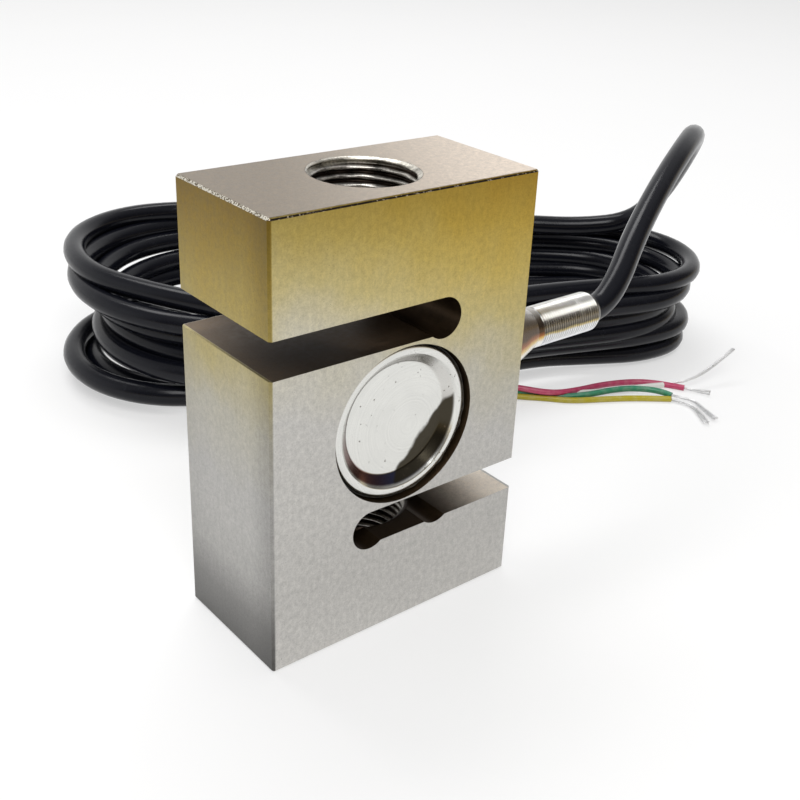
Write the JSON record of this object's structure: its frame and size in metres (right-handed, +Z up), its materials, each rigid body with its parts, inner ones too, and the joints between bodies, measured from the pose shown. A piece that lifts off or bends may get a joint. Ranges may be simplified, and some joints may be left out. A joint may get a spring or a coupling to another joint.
{
  "type": "s type load cell",
  "caption": "Slotted S-type load cell with a tapped hole in each end, round gauge pockets under pressed covers, a side cable gland and a loose coil of signal cable.",
  "frame": {"origin": "middle of the lower end face, on the axis of both tapped holes", "axes": "+Z up the load axis, +X towards the side that the cable leaves by, -Y out of the front face with the cover"},
  "size_m": [0.1734, 0.1495, 0.0762],
  "materials": {
    "nickel_plated_steel": "fine vertical brushing under worn nickel plating",
    "pressed_cover_steel": "bright pressed sheet",
    "dark_sealant": "matt bead",
    "gauge_foil": "thin polyimide backing",
    "terminal_laminate": "glass laminate",
    "gland_nickel": "bright turned nickel-plated brass",
    "gland_rubber": "matt",
    "cable_sheath": "glossy soft PVC",
    "core_red": "glossy",
    "core_white": "glossy",
    "core_green": "glossy",
    "core_yellow": "glossy",
    "tinned_copper": "bare stranded wire"
  },
  "bodies": {
    "root": {"sensor_body": "nickel_plated_steel", "front_cover": "pressed_cover_steel", "rear_cover": "pressed_cover_steel", "front_seal": "dark_sealant", "rear_seal": "dark_sealant", "front_gauge_left": "gauge_foil", "front_gauge_right": "gauge_foil", "rear_gauge_left": "gauge_foil", "rear_gauge_right": "gauge_foil", "front_terminal_board": "terminal_laminate", "rear_terminal_board": "terminal_laminate", "gland_washer": "gland_nickel", "gland_body": "gland_nickel", "gland_sleeve": "gland_nickel", "gland_plug": "gland_rubber", "cable_lead": "cable_sheath", "cable_coil": "cable_sheath", "cable_tail": "cable_sheath", "core_red": "core_red", "core_white": "core_white", "core_green": "core_green", "core_yellow": "core_yellow", "strand_red": "tinned_copper", "strand_white": "tinned_copper", "strand_green": "tinned_copper", "strand_yellow": "tinned_copper"}
  },
  "joints": []
}
